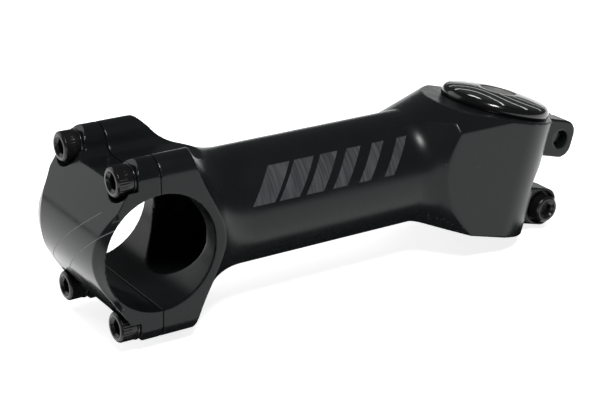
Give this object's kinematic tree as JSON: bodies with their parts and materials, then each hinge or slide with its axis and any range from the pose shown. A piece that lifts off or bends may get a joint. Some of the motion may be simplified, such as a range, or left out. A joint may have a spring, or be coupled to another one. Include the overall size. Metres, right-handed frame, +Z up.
{
  "type": "bicycle handlebar stem",
  "caption": "Threadless bicycle stem: hollow round extension with a split bar clamp and removable faceplate at one end and a slit steerer clamp with a domed cap at the other.",
  "frame": {"origin": "centre of the steerer bore at the steerer clamp's lower face", "axes": "+X along the extension, from the handlebar clamp towards the steerer clamp; +Y along the handlebar bore; +Z up, square to the extension. The steerer's axis leans 15 degrees from +Z towards +X"},
  "size_m": [0.1667, 0.0394, 0.0514],
  "materials": {
    "body_anodised": "satin black anodised, forged and machined aluminium alloy",
    "plate_anodised": "satin black anodised, machined aluminium alloy, slightly glossier than the body",
    "black_steel": "black oxide steel, glossy with oil, knurled heads",
    "cap_gloss": "gloss black composite with a fine diagonal weave and thin pale lines"
  },
  "bodies": {
    "stem_body": {"stem_body": "body_anodised"},
    "faceplate": {"faceplate": "plate_anodised"},
    "face_washer_upper_near": {"face_washer_upper_near": "black_steel"},
    "face_bolt_upper_near": {"face_bolt_upper_near": "black_steel"},
    "face_washer_lower_near": {"face_washer_lower_near": "black_steel"},
    "face_bolt_lower_near": {"face_bolt_lower_near": "black_steel"},
    "face_washer_upper_far": {"face_washer_upper_far": "black_steel"},
    "face_bolt_upper_far": {"face_bolt_upper_far": "black_steel"},
    "face_washer_lower_far": {"face_washer_lower_far": "black_steel"},
    "face_bolt_lower_far": {"face_bolt_lower_far": "black_steel"},
    "pinch_washer_upper": {"pinch_washer_upper": "black_steel"},
    "pinch_bolt_upper": {"pinch_bolt_upper": "black_steel"},
    "pinch_washer_lower": {"pinch_washer_lower": "black_steel"},
    "pinch_bolt_lower": {"pinch_bolt_lower": "black_steel"},
    "top_cap": {"top_cap": "cap_gloss"}
  },
  "joints": [
    {"name": "faceplate_off", "type": "slide", "parent": "stem_body", "child": "faceplate", "axis": [-1, 0, 0], "range_m": [0, 0.02]},
    {"name": "face_bolt_upper_near_travel", "type": "slide", "parent": "faceplate", "child": "face_washer_upper_near", "axis": [-1, 0, 0], "range_m": [0, 0.0121]},
    {"name": "face_bolt_upper_near_turn", "type": "hinge", "parent": "face_washer_upper_near", "child": "face_bolt_upper_near", "pos_m": [-0.12055, -0.01475, 0.04144], "axis": [-1, 0, 0], "range_deg": [0, 5400]},
    {"name": "face_bolt_lower_near_travel", "type": "slide", "parent": "faceplate", "child": "face_washer_lower_near", "axis": [-1, 0, 0], "range_m": [0, 0.0121]},
    {"name": "face_bolt_lower_near_turn", "type": "hinge", "parent": "face_washer_lower_near", "child": "face_bolt_lower_near", "pos_m": [-0.12055, -0.01475, 0.00144], "axis": [-1, 0, 0], "range_deg": [0, 5400]},
    {"name": "face_bolt_upper_far_travel", "type": "slide", "parent": "faceplate", "child": "face_washer_upper_far", "axis": [-1, 0, 0], "range_m": [0, 0.0121]},
    {"name": "face_bolt_upper_far_turn", "type": "hinge", "parent": "face_washer_upper_far", "child": "face_bolt_upper_far", "pos_m": [-0.12055, 0.01475, 0.04144], "axis": [-1, 0, 0], "range_deg": [0, 5400]},
    {"name": "face_bolt_lower_far_travel", "type": "slide", "parent": "faceplate", "child": "face_washer_lower_far", "axis": [-1, 0, 0], "range_m": [0, 0.0121]},
    {"name": "face_bolt_lower_far_turn", "type": "hinge", "parent": "face_washer_lower_far", "child": "face_bolt_lower_far", "pos_m": [-0.12055, 0.01475, 0.00144], "axis": [-1, 0, 0], "range_deg": [0, 5400]},
    {"name": "pinch_bolt_upper_travel", "type": "slide", "parent": "stem_body", "child": "pinch_washer_upper", "axis": [0, 1, 0], "range_m": [0, 0.0081]},
    {"name": "pinch_bolt_upper_turn", "type": "hinge", "parent": "pinch_washer_upper", "child": "pinch_bolt_upper", "pos_m": [0.02931, 0.0058, 0.02207], "axis": [0, 1, 0], "range_deg": [0, 3600]},
    {"name": "pinch_bolt_lower_travel", "type": "slide", "parent": "stem_body", "child": "pinch_washer_lower", "axis": [0, -1, 0], "range_m": [0, 0.0081]},
    {"name": "pinch_bolt_lower_turn", "type": "hinge", "parent": "pinch_washer_lower", "child": "pinch_bolt_lower", "pos_m": [0.02367, -0.0058, 0.00101], "axis": [0, -1, 0], "range_deg": [0, 3600]},
    {"name": "top_cap_lift", "type": "slide", "parent": "stem_body", "child": "top_cap", "axis": [0.2588, 0, 0.9659], "range_m": [0, 0.015]}
  ],
  "couplings": [
    {"joint": "face_bolt_upper_near_travel", "follows": "face_bolt_upper_near_turn", "m_per_rad": 0.00012732},
    {"joint": "face_bolt_lower_near_travel", "follows": "face_bolt_lower_near_turn", "m_per_rad": 0.00012732},
    {"joint": "face_bolt_upper_far_travel", "follows": "face_bolt_upper_far_turn", "m_per_rad": 0.00012732},
    {"joint": "face_bolt_lower_far_travel", "follows": "face_bolt_lower_far_turn", "m_per_rad": 0.00012732},
    {"joint": "pinch_bolt_upper_travel", "follows": "pinch_bolt_upper_turn", "m_per_rad": 0.00012732},
    {"joint": "pinch_bolt_lower_travel", "follows": "pinch_bolt_lower_turn", "m_per_rad": 0.00012732}
  ]
}
